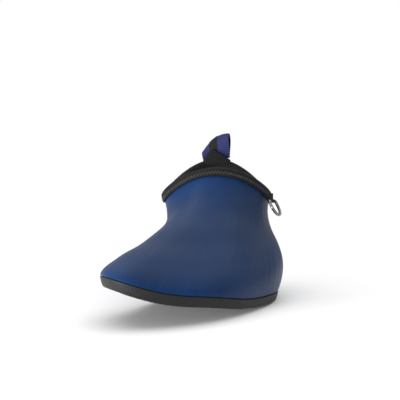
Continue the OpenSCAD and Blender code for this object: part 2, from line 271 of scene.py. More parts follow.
@dataclass(frozen=True)
class BootShape:
    """The surface that the upper follows, in millimetres, as the CAD part draws it.

    Twelve stations go round the boot from the toe, over the outer side, the heel and the inner
    side. At each one a Bezier curve climbs from the sole's edge to the rim of the collar.
    """

    edge_x: tuple[float, ...] = (-22, 24, 49, 57, 36, 21, -4, -29, -39, -37, -45, -49)
    edge_y: tuple[float, ...] = (-199, -165, -104, -36, 27, 60, 73, 57, 18, -40, -112, -158)
    bulge_out: tuple[float, ...] = (2, 4, 8, 15, 13, 10, 7, 8, 7, 3, 0, 0)
    bulge_up: tuple[float, ...] = (11, 14, 26, 40, 38, 36, 36, 36, 34, 29, 18, 14)
    neck_out: tuple[float, ...] = (23, 15, 0, -10, -5, -3, -4, -3, -6, -12, -12, -3)
    neck_down: tuple[float, ...] = (43, 45, 43, 35, 36, 38, 36, 36, 36, 35, 43, 50)
    collar_width: float = 92.0
    collar_length: float = 100.0
    rim_front: float = 103.5
    rim_side: float = 83.0
    rim_back: float = 114.5
    heel_turn: float = 12.0
    wall: float = 4.0
    gap: float = 0.1
    cloth_gap: float = 0.25
    band_t: float = 1.4
    sole_h: float = 7.0
    toe_slope: float = 0.207
    toe_turn: float = 40.0
    spring_start: float = 32.0
    spring_end: float = 77.0
    outer_seam: float = 3.6
    inner_seam: float = 8.6
    step: float = 0.002

    @property
    def heel_seam(self) -> float:
        """The heel seam's place round the boot."""
        return 6 + self.heel_turn / 30

    def between(self, values: Sequence[float], u: float) -> float:
        """Read a row of station values at any place round the boot.

        Args:
            values: One value for each station.
            u: The place round the boot, in stations.

        Returns:
            The value on a smooth closed curve through the stations.
        """
        i = math.floor(u)
        t = u - i
        a, b, c, d = (values[(i + k) % STATIONS] for k in (-1, 0, 1, 2))
        square, cube = 2 * a - 5 * b + 4 * c - d, 3 * b - a - 3 * c + d
        return b + ((c - a) * t + square * t * t + cube * t * t * t) / 2

    def edge(self, u: float) -> Vector:
        """The sole's edge in plan."""
        return Vector((self.between(self.edge_x, u), self.between(self.edge_y, u)))

    def edge_out(self, u: float) -> Vector:
        """The way out of the sole's edge in plan."""
        d = self.edge(u + self.step) - self.edge(u - self.step)
        return Vector((d.y, -d.x)).normalized()

    def spring(self, x: float, y: float) -> float:
        """The rise of the toe over a point of the plan."""
        turn = math.radians(self.toe_turn)
        s = -(x * math.sin(turn) + y * math.cos(turn))
        if s < self.spring_start:
            return 0.0
        if s < self.spring_end:
            return self.toe_slope * (s - self.spring_start) ** 2 / (2 * (self.spring_end - self.spring_start))
        return self.toe_slope * (s - (self.spring_start + self.spring_end) / 2)

    def cup(self, u: float) -> float:
        """How far the sole's edge curls up, or the toe's front dips, at a place round the boot."""
        turned = (u + 4) % STATIONS - 4
        return 2.2 * hump(turned, -0.8, 0.9) + 2.2 * hump(turned, 2.0, 0.7) - 2.6 * hump(turned, 0.55, 0.45)

    def rim(self, u: float) -> Vector:
        """The collar's rim."""
        angle = math.tau * u / STATIONS
        turned = math.cos(angle - math.radians(self.heel_turn))
        top = self.rim_front if turned > 0 else self.rim_back
        height = self.rim_side + (top - self.rim_side) * abs(turned) ** 1.8
        across, along = self.collar_width / 2 * math.sin(angle), -self.collar_length / 2 * math.cos(angle)
        return Vector((across, along, height))

    @lru_cache(maxsize=200_000)
    def handles(self, u: float) -> tuple[Vector, Vector, Vector, Vector]:
        """The four control points of the curve at a place round the boot.

        Args:
            u: The place round the boot, in stations.

        Returns:
            The foot, the low handle, the high handle and the rim.
        """
        plan = self.edge(u)
        foot = Vector((plan.x, plan.y, self.sole_h + self.gap + self.spring(plan.x, plan.y) + self.cup(u)))
        out = self.edge_out(u) * self.between(self.bulge_out, u)
        low = foot + Vector((out.x, out.y, self.between(self.bulge_up, u)))
        angle = math.tau * u / STATIONS
        reach = self.between(self.neck_out, u)
        rim = self.rim(u)
        down = self.between(self.neck_down, u)
        thread_gap_shade = rim + Vector((math.sin(angle) * reach, -math.cos(angle) * reach, -down))
        return foot, low, thread_gap_shade, rim

    def skin(self, u: float, v: float) -> Vector:
        """A point of the upper's outer surface, from the sole (v = 0) to the rim (v = 1)."""
        foot, low, thread_gap_shade, rim = self.handles(u)
        w = 1 - v
        return w**3 * foot + 3 * v * w * w * low + 3 * v * v * w * thread_gap_shade + v**3 * rim

    def out(self, u: float, v: float) -> Vector:
        """The way out of the upper's surface."""
        round_way = self.skin(u + self.step, v) - self.skin(u - self.step, v)
        up_way = self.skin(u, v + self.step) - self.skin(u, v - self.step)
        return round_way.cross(up_way).normalized()

    def under(self, u: float, v: float, depth: float) -> Vector:
        """A point under the skin by depth, or over it when depth is negative."""
        return self.skin(u, v) - self.out(u, v) * depth

    def below_rim(self, u: float, distance: float) -> float:
        """How far up the curve a point is that lies a distance below the rim."""
        _, _, thread_gap_shade, rim = self.handles(u)
        return 1 - distance / (3 * (rim - thread_gap_shade).length)

    def rim_up(self, u: float) -> Vector:
        """The way up over the rim."""
        _, _, thread_gap_shade, rim = self.handles(u)
        return (rim - thread_gap_shade).normalized()

    def arch(self, u: float, angle: float, radius: float) -> Vector:
        """A point over the rim at a radius, from outside (0) to inside (pi)."""
        way, up = self.out(u, 1.0), self.rim_up(u)
        return self.rim(u) - way * self.wall / 2 + (way * math.cos(angle) + up * math.sin(angle)) * radius

    def lean(self, u: float, height: float) -> float:
        """How far the upper's inner side has come in from the sole's edge at a height over the sole."""
        foot, edge, way = self.handles(u)[0], self.edge(u), self.edge_out(u)
        inner = (self.under(u, v / 50, self.wall) for v in range(21))
        return max((edge - p.xy).dot(way) for p in inner if p.z - foot.z <= height)


SHAPE = BootShape()


# ---------------------------------------------------------------------------------------------
# Finishes
# ---------------------------------------------------------------------------------------------


class Tree:
    """A material's nodes, with one function that adds a node with its settings and links."""

    def __init__(self, name: str) -> None:
        """Start a material with only a shader and an output.

        Args:
            name: The material's name.
        """
        self.material = bpy.data.materials.new(name)
        self.material.use_nodes = True
        self.nodes = self.material.node_tree.nodes
        self.links = self.material.node_tree.links
        self.nodes.clear()
        self.output = self.nodes.new("ShaderNodeOutputMaterial")
        self.shader = self.nodes.new("ShaderNodeBsdfPrincipled")
        self.links.new(self.shader.outputs["BSDF"], self.output.inputs["Surface"])

    def add(
        self,
        kind: str,
        inputs: dict[Any, Any] | None = None,
        settings: dict[str, Any] | None = None,
        out: Any = 0,
    ) -> Any:
        """Add a node with its settings and links.

        Args:
            kind: The node's type, without its "ShaderNode" start.
            inputs: Values or other nodes' outputs for its inputs, by name or number.
            settings: Properties of the node.
            out: The output that is wanted, by name or number.

        Returns:
            That output.
        """
        node = self.nodes.new("ShaderNode" + kind)
        for key, value in (settings or {}).items():
            setattr(node, key, value)
        for key, value in (inputs or {}).items():
            self.feed(node.inputs[key], value)
        return node.outputs[out]

    def feed(self, socket: Any, value: Any) -> None:
        """Give a socket a value, or link it to another node's output."""
        if isinstance(value, bpy.types.NodeSocket):
            self.links.new(value, socket)
        else:
            socket.default_value = value

    def shade(self, **inputs: Any) -> None:
        """Set the shader's sockets, with underscores for the spaces in their names."""
        for key, value in inputs.items():
            self.feed(self.shader.inputs[key.replace("_", " ")], value)


def repeats(pitch: float) -> float:
    """The scale of a wave texture whose ridges lie a pitch apart, in millimetres."""
    return math.tau / (20 * pitch * MM)


# The settings of the nodes that finishes share: a colour mix, a clamped range, and ridges side by
# side across the cloth or stacked up it. The numbers name a mix's factor and its two colours, and
# a range's value, its two ends and what they become.
COLOURS = {"data_type": "RGBA"}
CLAMPED = {"clamp": True}
RIDGES_ACROSS = {"bands_direction": "X", "wave_profile": "SIN"}
RIDGES_UP = {"bands_direction": "Y", "wave_profile": "SIN"}
CLOTH = {"uv_map": "cloth"}
FACTOR, FIRST, SECOND = 0, 6, 7
MIXED = 2


@dataclass(frozen=True)
class Finish:
    """A finish, made once and shared by the pieces that have it."""

    name: str

    def material(self) -> bpy.types.Material:
        """The material of this finish, made at its first use."""
        found = bpy.data.materials.get(self.name)
        return found if found is not None else self.build(Tree(self.name))

    def build(self, tree: Tree) -> bpy.types.Material:
        """Fill in the material's nodes."""
        raise NotImplementedError


@dataclass(frozen=True)
class NylonJersey(Finish):
    """Warp-knit nylon jersey laminated to neoprene.

    Its fine wales run up the boot. Smooth filament gives a soft satin sheen that brightens where
    the cloth turns away. Lighter streaks along the wales are painted sheen in the colour, and the
    same streaks vary the roughness.
    """

    colour: str = "#10274a"
    deep: str = "#0d203d"
    sheen_streak: str = "#1a355c"
    wale: float = 1.5
    course: float = 1.1
    wander: float = 0.6
    sheen: float = 0.008

    def build(self, tree: Tree) -> bpy.types.Material:
        """Fill in the knit's colour, its painted sheen streaks and its ribs."""
        place = tree.add("TexCoord", out="Object")
        cloth = tree.add("UVMap", settings=CLOTH)
        slow = tree.add("Mapping", {"Vector": place, "Scale": (22.0, 22.0, 22.0)})
        drift = tree.add("TexNoise", {"Vector": slow, "Scale": 1.0, "Detail": 2.0})
        along = tree.add("Mapping", {"Vector": cloth, "Scale": (700.0, 16.0, 1.0)})
        lines = tree.add("TexNoise", {"Vector": along, "Scale": 1.0, "Detail": 3.0})
        fine = tree.add("Mapping", {"Vector": place, "Scale": (1400.0, 1400.0, 1400.0)})
        grain = tree.add("TexNoise", {"Vector": fine, "Scale": 1.0, "Detail": 2.0})
        part = tree.add("MapRange", {0: drift, 1: 0.35, 2: 0.65, 3: 0.0, 4: 1.0}, CLAMPED)
        colours = {FACTOR: part, FIRST: linear(self.deep), SECOND: linear(self.colour)}
        dyed = tree.add("Mix", colours, COLOURS, MIXED)
        # Streaks along the wales, painted lighter in the colour as sheen; the same lines set the roughness
        # below.
        part = tree.add("MapRange", {0: lines, 1: 0.4, 2: 0.75, 3: 0.0, 4: 0.3}, CLAMPED)
        sheen_streaked = tree.add("Mix", {FACTOR: part, FIRST: dyed, SECOND: linear(self.sheen_streak)}, COLOURS, MIXED)
        gloss = tree.add("MapRange", {0: lines, 1: 0.3, 2: 0.7, 3: 0.36, 4: 0.5}, CLAMPED)
        tree.shade(Base_Color=sheen_streaked, Roughness=gloss)
        tree.shade(Specular_IOR_Level=0.12, Specular_Tint=linear("#8fbcf5"), IOR=1.5)
        tree.shade(Sheen_Weight=self.sheen, Sheen_Roughness=0.4, Sheen_Tint=linear("#7fa8e0"))
        wave = {"Vector": cloth, "Distortion": self.wander, "Detail": 1.0, "Detail Scale": 2.0}
        wales = tree.add("TexWave", wave | {"Scale": repeats(self.wale)}, RIDGES_ACROSS, "Fac")
        courses = tree.add("TexWave", wave | {"Scale": repeats(self.course)}, RIDGES_UP, "Fac")
        knit = tree.add("Bump", {"Height": wales, "Distance": 0.10 * MM, "Strength": 0.45})
        knit = tree.add("Bump", {"Height": courses, "Distance": 0.06 * MM, "Strength": 0.3, "Normal": knit})
        knit = tree.add("Bump", {"Height": grain, "Distance": 0.08 * MM, "Strength": 0.25, "Normal": knit})
        tree.shade(Normal=knit)
        return tree.material


@dataclass(frozen=True)
class ClosedCellNeoprene(Finish):
    """The cut edge of closed-cell neoprene foam: dead matte, with fine pores whose pits are painted darker as
    shade.
    """

    def build(self, tree: Tree) -> bpy.types.Material:
        """Fill in the foam's colour, the painted shade in its pores, and their dents."""
        place = tree.add("TexCoord", out="Object")
        fine = tree.add("Mapping", {"Vector": place, "Scale": (1600.0, 1600.0, 1600.0)})
        pores = tree.add("TexVoronoi", {"Vector": fine, "Scale": 1.0}, out="Distance")
        holes = tree.add("MapRange", {0: pores, 1: 0.1, 2: 0.5, 3: 0.0, 4: 1.0}, CLAMPED)
        # The pore pits are painted darker: painted shade in the pores, where the bump dents them.
        colours = {FACTOR: holes, FIRST: linear("#101113"), SECOND: linear("#1d1e20")}
        tree.shade(Base_Color=tree.add("Mix", colours, COLOURS, MIXED), Roughness=0.92, IOR=1.5)
        tree.shade(Normal=tree.add("Bump", {"Height": holes, "Distance": 0.2 * MM, "Strength": 0.4}))
        return tree.material


@dataclass(frozen=True)
class LiningJersey(Finish):
    """Black brushed jersey on the inside: soft, with a faint nap painted darker in its low places as shade,
    and fine ribs.
    """

    colour: str = "#17181a"
    rib: float = 1.2

    def build(self, tree: Tree) -> bpy.types.Material:
        """Fill in the lining's colour with painted shade in the nap's low places, its nap and its ribs."""
        place = tree.add("TexCoord", out="Object")
        cloth = tree.add("UVMap", settings=CLOTH)
        fine = tree.add("Mapping", {"Vector": place, "Scale": (900.0, 900.0, 900.0)})
        nap = tree.add("TexNoise", {"Vector": fine, "Scale": 1.0, "Detail": 3.0})
        part = tree.add("MapRange", {0: nap, 1: 0.35, 2: 0.65, 3: 0.0, 4: 1.0}, CLAMPED)
        # Darker where the nap is low, as the bump below dents it: painted shade in the nap.
        colours = {FACTOR: part, FIRST: linear("#0e0f10"), SECOND: linear(self.colour)}
        tree.shade(Base_Color=tree.add("Mix", colours, COLOURS, MIXED), Roughness=0.85, IOR=1.5)
        tree.shade(Specular_IOR_Level=0.25, Sheen_Weight=0.05, Sheen_Roughness=0.6)
        wave = {"Vector": cloth, "Distortion": 1.0, "Detail": 1.0, "Detail Scale": 2.0}
        ribs = tree.add("TexWave", wave | {"Scale": repeats(self.rib)}, RIDGES_ACROSS, "Fac")
        knit = tree.add("Bump", {"Height": ribs, "Distance": 0.12 * MM, "Strength": 0.4})
        knit = tree.add("Bump", {"Height": nap, "Distance": 0.15 * MM, "Strength": 0.4, "Normal": knit})
        tree.shade(Normal=knit)
        return tree.material


@dataclass(frozen=True)
class WovenTape(Finish):
    """Woven polyester or nylon tape: a dull cloth with a thread grid, shade painted between threads, and its
    own rib pitch.
    """

    light: str = "#1b1b1c"
    dark: str = "#0e0e0f"
    across: float = 0.9
    up: float = 1.3
    depth: float = 0.16
    roughness: float = 0.72
    sheen: float = 0.03

    def build(self, tree: Tree) -> bpy.types.Material:
        """Fill in the tape's threads, with painted shade in the gaps between them."""
        cloth = tree.add("UVMap", settings=CLOTH)
        wave = {"Vector": cloth, "Distortion": 0.3, "Detail": 1.0, "Detail Scale": 2.0}
        warp = tree.add("TexWave", wave | {"Scale": repeats(self.across)}, RIDGES_ACROSS, "Fac")
        weft = tree.add("TexWave", wave | {"Scale": repeats(self.up)}, RIDGES_UP, "Fac")
        along = tree.add("Mapping", {"Vector": cloth, "Scale": (500.0, 2500.0, 1.0)})
        fibre = tree.add("TexNoise", {"Vector": along, "Scale": 1.0, "Detail": 2.0})
        weave = tree.add("Math", {0: warp, 1: weft}, {"operation": "MULTIPLY"})
        # Thread crests are painted lighter and the gaps between them darker: painted shade between the
        # threads. The fibre noise is the tape's own uneven tone.
        thread_gap_shade = tree.add("MapRange", {0: weave, 1: 0.0, 2: 0.8, 3: 0.2, 4: 1.0}, CLAMPED)
        clean = tree.add("MapRange", {0: fibre, 1: 0.3, 2: 0.7, 3: 0.6, 4: 1.0}, CLAMPED)
        part = tree.add("Math", {0: thread_gap_shade, 1: clean}, {"operation": "MULTIPLY"})
        colours = {FACTOR: part, FIRST: linear(self.dark), SECOND: linear(self.light)}
        tree.shade(Base_Color=tree.add("Mix", colours, COLOURS, MIXED), Roughness=self.roughness)
        tree.shade(Sheen_Weight=self.sheen, Sheen_Roughness=0.5, IOR=1.5, Specular_IOR_Level=0.14)
        threads = tree.add("Bump", {"Height": weave, "Distance": self.depth * MM, "Strength": 0.6})
        fuzz = {"Height": fibre, "Distance": 0.05 * MM, "Strength": 0.3, "Normal": threads}
        tree.shade(Normal=tree.add("Bump", fuzz))
        return tree.material


@dataclass(frozen=True)
class SewingThread(Finish):
    """Twisted polyester thread: slightly glossy, with a slanted ply whose grooves are painted darker as
    shade.
    """

    light: str = "#2c2c30"
    dark: str = "#151518"

    def build(self, tree: Tree) -> bpy.types.Material:
        """Fill in the thread's ply, with painted shade in its grooves."""
        place = tree.add("TexCoord", out="Object")
        twist = tree.add("Mapping", {"Vector": place, "Scale": (2600.0, 2600.0, 900.0)})
        ply = tree.add("TexNoise", {"Vector": twist, "Scale": 1.0, "Detail": 1.0})
        # The ply's low places are painted darker: painted shade in the grooves that the bump below dents.
        colours = {FACTOR: ply, FIRST: linear(self.dark), SECOND: linear(self.light)}
        tree.shade(Base_Color=tree.add("Mix", colours, COLOURS, MIXED), Roughness=0.5, IOR=1.5)
        tree.shade(Normal=tree.add("Bump", {"Height": ply, "Distance": 0.08 * MM, "Strength": 0.5}))
        tree.shade(Sheen_Weight=0.1)
        return tree.material


@dataclass(frozen=True)
class MouldedRubber(Finish):
    """Vulcanised black sole rubber: satin from the mould, with a fine stipple, scuffed grey in places."""

    def build(self, tree: Tree) -> bpy.types.Material:
        """Fill in the rubber's colour, scuffs and stipple."""
        place = tree.add("TexCoord", out="Object")
        slow = tree.add("Mapping", {"Vector": place, "Scale": (45.0, 45.0, 45.0)})
        cloud = tree.add("TexNoise", {"Vector": slow, "Scale": 1.0, "Detail": 3.0})
        fine = tree.add("Mapping", {"Vector": place, "Scale": (1500.0, 1500.0, 1500.0)})
        stipple = tree.add("TexNoise", {"Vector": fine, "Scale": 1.0, "Detail": 2.0})
        flat = tree.add("Mapping", {"Vector": place, "Scale": (260.0, 260.0, 900.0)})
        dust = tree.add("TexNoise", {"Vector": flat, "Scale": 1.0, "Detail": 4.0})
        part = tree.add("MapRange", {0: cloud, 1: 0.35, 2: 0.65, 3: 0.0, 4: 1.0}, CLAMPED)
        colours = {FACTOR: part, FIRST: linear("#151515"), SECOND: linear("#1c1c1c")}
        base = tree.add("Mix", colours, COLOURS, MIXED)
        part = tree.add("MapRange", {0: dust, 1: 0.58, 2: 0.8, 3: 0.0, 4: 0.35}, CLAMPED)
        scuffed = tree.add("Mix", {FACTOR: part, FIRST: base, SECOND: linear("#323232")}, COLOURS, MIXED)
        satin = tree.add("MapRange", {0: dust, 1: 0.3, 2: 0.7, 3: 0.52, 4: 0.68}, CLAMPED)
        tree.shade(Base_Color=scuffed, Roughness=satin, IOR=1.52, Specular_IOR_Level=0.2)
        tree.shade(Normal=tree.add("Bump", {"Height": stipple, "Distance": 0.10 * MM, "Strength": 0.35}))
        return tree.material


@dataclass(frozen=True)
class CushionFoam(Finish):
    """Grey-black sole foam: matte, open to the touch, with fine cells whose hollows are painted darker as
    shade.
    """

    def build(self, tree: Tree) -> bpy.types.Material:
        """Fill in the foam's cells, with painted shade in their hollows."""
        place = tree.add("TexCoord", out="Object")
        fine = tree.add("Mapping", {"Vector": place, "Scale": (900.0, 900.0, 900.0)})
        cells = tree.add("TexVoronoi", {"Vector": fine, "Scale": 1.0}, out="Distance")
        part = tree.add("MapRange", {0: cells, 1: 0.1, 2: 0.6, 3: 0.0, 4: 1.0}, CLAMPED)
        # The cell hollows are painted darker: painted shade where the bump below dents them.
        colours = {FACTOR: part, FIRST: linear("#1b1b1d"), SECOND: linear("#2e2e31")}
        tree.shade(Base_Color=tree.add("Mix", colours, COLOURS, MIXED), Roughness=0.9, IOR=1.5)
        tree.shade(Normal=tree.add("Bump", {"Height": part, "Distance": 0.2 * MM, "Strength": 0.4}))
        return tree.material


@dataclass(frozen=True)
class PolishedSteel(Finish):
    """Polished stainless wire: bright, with hair-fine lines left along it by the drawing die."""

    def build(self, tree: Tree) -> bpy.types.Material:
        """Fill in the steel's lines and its slight haze."""
        place = tree.add("TexCoord", out="Object")
        drawn = tree.add("Mapping", {"Vector": place, "Scale": (1800.0, 1800.0, 300.0)})
        lines = tree.add("TexNoise", {"Vector": drawn, "Scale": 1.0, "Detail": 3.0})
        slow = tree.add("Mapping", {"Vector": place, "Scale": (120.0, 120.0, 120.0)})
        haze = tree.add("TexNoise", {"Vector": slow, "Scale": 1.0, "Detail": 2.0})
        part = tree.add("MapRange", {0: haze, 1: 0.3, 2: 0.7, 3: 0.0, 4: 1.0}, CLAMPED)
        colours = {FACTOR: part, FIRST: linear("#6f7174"), SECOND: linear("#888a8d")}
        polish = tree.add("MapRange", {0: lines, 1: 0.3, 2: 0.7, 3: 0.12, 4: 0.26}, CLAMPED)
        tree.shade(Base_Color=tree.add("Mix", colours, COLOURS, MIXED), Metallic=1.0, Roughness=polish)
        tree.shade(Normal=tree.add("Bump", {"Height": lines, "Distance": 0.02 * MM, "Strength": 0.2}))
        return tree.material


KNIT = NylonJersey("satin_nylon_jersey")
FOAM_EDGE = ClosedCellNeoprene("neoprene_cut_edge")
LINING = LiningJersey("brushed_lining_jersey")
BINDING = WovenTape("woven_binding_tape", "#161617", "#0b0b0c", 1.1, 0.7, 0.18, 0.72, 0.01)
SEAM_TAPE = WovenTape("woven_seam_tape", "#191a1c", "#0f1011", 0.8, 0.8, 0.1)
WEBBING = WovenTape("ribbed_navy_webbing", "#2b3263", "#131738", 0.9, 1.6, 0.2, 0.6, 0.05)
STRIPE = WovenTape("ribbed_black_tape", "#1d1d20", "#0d0d0f", 0.7, 1.6, 0.16)
LABEL = WovenTape("woven_satin_label", "#cfd2d8", "#9da1aa", 0.6, 0.6, 0.05, 0.45)
TAB = WovenTape("woven_heel_tab", "#18181a", "#0c0c0d", 1.0, 1.0, 0.14)
BLACK_THREAD = SewingThread("black_sewing_thread")
NAVY_THREAD = SewingThread("navy_sewing_thread", "#2b3c5c", "#18243a")
RUBBER = MouldedRubber("moulded_sole_rubber")
SOLE_FOAM = CushionFoam("sole_cushion_foam")
STEEL = PolishedSteel("polished_steel_wire")


# ---------------------------------------------------------------------------------------------
# The sole
# ---------------------------------------------------------------------------------------------


@dataclass
class Sole:
    """The rubber outsole, the sheet that closes the sock and the footbed, round the foam in the sole that
    stays a CAD node.
    """

    around: int = 240
    tread_depth: float = 1.2
    tread_border: float = 8.0
    groove_width: float = 2.4
    groove_pitch: float = 11.0
    front_tread: tuple[float, float] = (-172.0, -38.0)
    heel_tread: tuple[float, float] = (26.0, 52.0)
    middle: tuple[float, float] = (2.0, -62.0)
    tuck: float = 2.6
    bottom_t: float = 3.0
    footbed_t: float = 3.5
    lug_height: float = 1.4

    def lay(
        self,
        name: str,
        profile: Sequence[tuple[float, float, float]],
        inset: Callable[[float, float], float],
        rings: Sequence[int],
    ) -> bpy.types.Object:
        """Sweep a profile round the sole.

        Args:
            name: The piece's name.
            profile: Points from the middle of the underside to the middle of the top: how far out from
                the middle (0 to 1), how far in from the edge in millimetres, and the height.
            inset: Gives how far the piece's own edge lies in from the sole's, at a place and height.
            rings: How many rows of faces each stretch of the profile gets.

        Returns:
            The closed slab.
        """
        rows: list[tuple[float, float, float]] = []
        for start, end, count in zip(profile, profile[1:], rings):
            rows += [tuple(a + (b - a) * k / count for a, b in zip(start, end)) for k in range(count)]
        rows.append(profile[-1])
        middle = Vector(self.middle)

        def place(a: float, b: float) -> Vector:
            reach, inward, height = rows[min(round(b * (len(rows) - 1)), len(rows) - 1)]
            u = -a * STATIONS
            way = SHAPE.edge_out(u)
            edge = SHAPE.edge(u) - way * (inset(u, height) + inward)
            plan = middle.lerp(edge, reach)
            return Vector((plan.x, plan.y, height + SHAPE.spring(plan.x, plan.y) + SHAPE.cup(u) * reach**2))

        def uv(a: float, b: float) -> Vector:
            return place(a, b).xy.to_3d()

        piece = grid_piece(name, self.around, len(rows) - 1, place, uv, ring=True)
        self.close(piece)
        return piece

    def close(self, piece: bpy.types.Object) -> None:
        """Merge a slab's poles and make its faces point outwards."""
        bm = bmesh.new()
        bm.from_mesh(piece.data)
        bmesh.ops.remove_doubles(bm, verts=bm.verts, dist=2e-6)
        bmesh.ops.recalc_face_normals(bm, faces=bm.faces)
        bm.to_mesh(piece.data)
        bm.free()

    def outsole(self) -> None:
        """The tray of moulded rubber, with a tucked, rounded side and a raised tread."""
        recess, rim_in = self.tread_depth, self.tread_border
        profile = [
            (0, 0, recess), (1, rim_in + 0.5, recess), (1, rim_in, 0.25), (1, rim_in - 0.3, 0.0),
            (1, self.tuck + 0.5, 0.0), (1, self.tuck - 0.3, 0.2), (1, self.tuck - 0.9, 0.7), (1, 1.15, 1.7),
            (1, 0.55, 3.4), (1, 0.1, 5.6), (1, -0.1, 6.5), (1, 0.15, 6.9), (1, 0.6, 7.0), (1, 2.9, 7.0),
            (1, 3.0, 6.4), (1, 3.0, 3.5), (0, 0, 3.5),
        ]
        rings = [26, 1, 1, 3, 1, 1, 2, 2, 2, 1, 1, 1, 2, 1, 2, 10]
        body = self.lay("outsole_rubber", profile, lambda u, h: 0.0, rings)
        self.add_lugs(body)
        settle(body, Body.BOOT, [RUBBER], ["outsole"])

    def bars(self) -> list[tuple[float, float]]:
        """Where each bar of the tread starts and ends along the sole, from toe to heel."""
        cuts: list[tuple[float, float]] = [(-220.0, -220.0)]
        for start, end in (self.front_tread, self.heel_tread):
            count = int((end - start) // self.groove_pitch) + 1
            cuts += [(start + k * self.groove_pitch,) * 2 for k in range(count)]
        lows = [low for low, _ in cuts[1:]]
        starts = [-220.0] + [y + self.groove_width for y in lows]
        return list(zip(starts, lows + [100.0]))

    def add_lugs(self, body: bpy.types.Object) -> None:
        """Add the tread's bars to the outsole, each cut to the sole's outline.

        Args:
            body: The outsole.
        """
        outline = [self.inner_edge(STATIONS * k / 360) for k in range(360)]
        bm = bmesh.new()
        bm.from_mesh(body.data)
        for y0, y1 in self.bars():
            lug = self.bar(outline, y0, y1)
            if lug is not None:
                bm.from_mesh(lug)
                bpy.data.meshes.remove(lug)
        bm.to_mesh(body.data)
        bm.free()

    def inner_edge(self, u: float) -> Vector:
        """The tread's edge inside its border."""
        return SHAPE.edge(u) - SHAPE.edge_out(u) * (self.tread_border + 1.0)

    def bar(self, outline: Sequence[Vector], y0: float, y1: float) -> bpy.types.Mesh | None:
        """One bar of the tread, cut from the outline and bent to the toe spring.

        Args:
            outline: The tread's edge in plan.
            y0: The bar's start along the sole.
            y1: The bar's end along the sole.

        Returns:
            The bar's mesh, or None where the outline doesn't reach it.
        """
        bm = bmesh.new()
        made = bmesh.ops.create_circle(bm, cap_ends=True, segments=len(outline), radius=1.0)
        for v, p in zip(made["verts"], outline):
            v.co = (p.x, p.y, 0)
        for y, way in ((y0, -1), (y1, 1)):
            geom = bm.verts[:] + bm.edges[:] + bm.faces[:]
            cut = {"plane_co": (0, y, 0), "plane_no": (0, way, 0), "clear_outer": True}
            bmesh.ops.bisect_plane(bm, geom=geom, dist=1e-6, **cut)
        if not bm.faces:
            bm.free()
            return None
        for x in range(-60, 61, 8):
            geom = bm.verts[:] + bm.edges[:] + bm.faces[:]
            bmesh.ops.bisect_plane(bm, geom=geom, dist=1e-6, plane_co=(x, 0, 0), plane_no=(1, 0, 0))
        length = y1 - y0
        for k in range(1, max(1, int(length // 8)) + 1 if length > 20 else 1):
            geom = bm.verts[:] + bm.edges[:] + bm.faces[:]
            bmesh.ops.bisect_plane(bm, geom=geom, dist=1e-6, plane_co=(0, y0 + 8 * k, 0), plane_no=(0, 1, 0))
        made = bmesh.ops.extrude_face_region(bm, geom=bm.faces[:])
        raised = [v for v in made["geom"] if isinstance(v, bmesh.types.BMVert)]
        bmesh.ops.translate(bm, verts=raised, vec=(0, 0, self.lug_height))
        bmesh.ops.recalc_face_normals(bm, faces=bm.faces)
        for v in bm.verts:
            v.co.z += SHAPE.spring(v.co.x, v.co.y) + self.curl(v.co.xy)
        bmesh.ops.scale(bm, vec=(MM,) * 3, verts=bm.verts)
        mesh = bpy.data.meshes.new("lug")
        bm.to_mesh(mesh)
        bm.free()
        return mesh

    def curl(self, plan: Vector) -> float:
        """How far the sole's curled edge lifts a point of the tread."""
        middle = Vector(self.middle)
        away = plan - middle
        k = max(range(120), key=lambda i: (SHAPE.edge(i / 10) - middle).normalized().dot(away))
        return SHAPE.cup(k / 10) * (away.length / (SHAPE.edge(k / 10) - middle).length) ** 2

    def pad(
        self,
        name: str,
        low: float,
        thick: float,
        ease: float,
        level: float,
        node: str,
        finishes: list[Finish],
    ) -> None:
        """A flat piece inside the boot, with rounded edges.

        Args:
            name: The piece's name.
            low: The height of its underside over the ground.
            thick: Its thickness.
            ease: How far its edge stays clear of the upper.
            level: The height over the sole at which the upper is cleared.
            node: The CAD node it stands for.
            finishes: Its finishes.
        """
        top = low + thick
        profile = [(0, 0, low), (1, 0.8, low), (1, 0.2, low + 0.25), (1, 0, low + 0.8), (1, 0, top - 0.9),
                   (1, 0.3, top - 0.3), (1, 1.0, top), (0, 0, top)]
        piece = self.lay(name, profile, lambda u, h: SHAPE.lean(u, level) + ease, [14, 1, 1, 1, 1, 1, 20])
        settle(piece, Body.BOOT, finishes, [node])

    def build(self) -> None:
        """Build the sole's pieces."""
        self.outsole()
        low = SHAPE.sole_h + SHAPE.gap
        sheet_top = SHAPE.sole_h + self.bottom_t
        thick = self.bottom_t - 0.1
        self.pad("sock_bottom", low, thick, 0.6, self.bottom_t, "bottom_sheet", [LINING])
        level = self.bottom_t + self.footbed_t + SHAPE.gap
        low = sheet_top + SHAPE.gap
        self.pad("footbed_pad", low, self.footbed_t, 1.5, level, "footbed", [LINING])


# ---------------------------------------------------------------------------------------------
# The upper
# ---------------------------------------------------------------------------------------------


